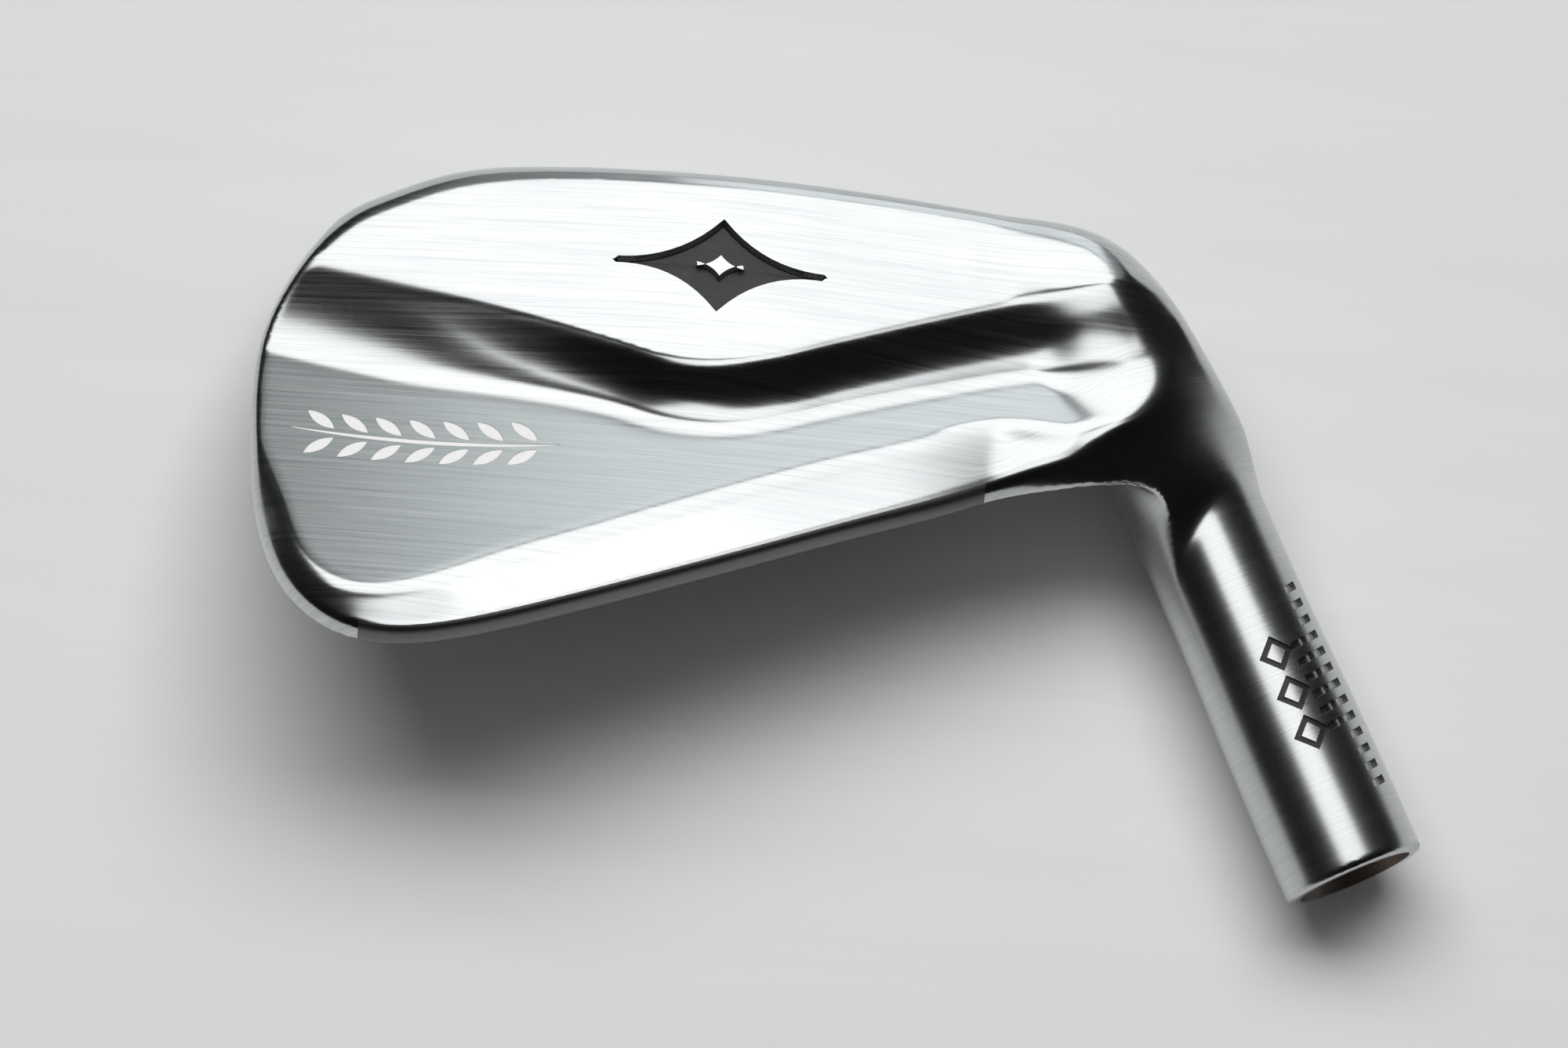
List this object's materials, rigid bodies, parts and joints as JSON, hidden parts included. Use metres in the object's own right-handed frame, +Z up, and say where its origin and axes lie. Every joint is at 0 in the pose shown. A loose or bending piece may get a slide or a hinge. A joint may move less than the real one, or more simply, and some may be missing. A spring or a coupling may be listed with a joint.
{
  "type": "iron golf club head",
  "caption": "Forged muscle-back iron head with a hosel bored for a golf shaft, brushed chrome, right-handed.",
  "frame": {"origin": "on the shaft axis, where the straight wall of the hosel bore begins, 1.4 mm inside the hosel's mouth", "axes": "the head lies face down as on a table: +X towards the heel and hosel side, -X towards the toe, +Y towards the sole, +Z up, out of the back of the blade; the shaft axis is in the XY plane"},
  "size_m": [0.1117, 0.062, 0.0302],
  "materials": {
    "chromed_steel": "satin brushed chrome plate, with a blasted hitting area",
    "dark_paint": "dark grey textured paint",
    "white_paint": "white enamel paint fill",
    "black_paint": "black enamel paint fill"
  },
  "bodies": {
    "root": {"forged_head": "chromed_steel", "star_paint": "dark_paint", "sprig_paint": "white_paint", "hosel_mark_paint": "black_paint", "sole_number_paint": "black_paint"}
  },
  "joints": []
}
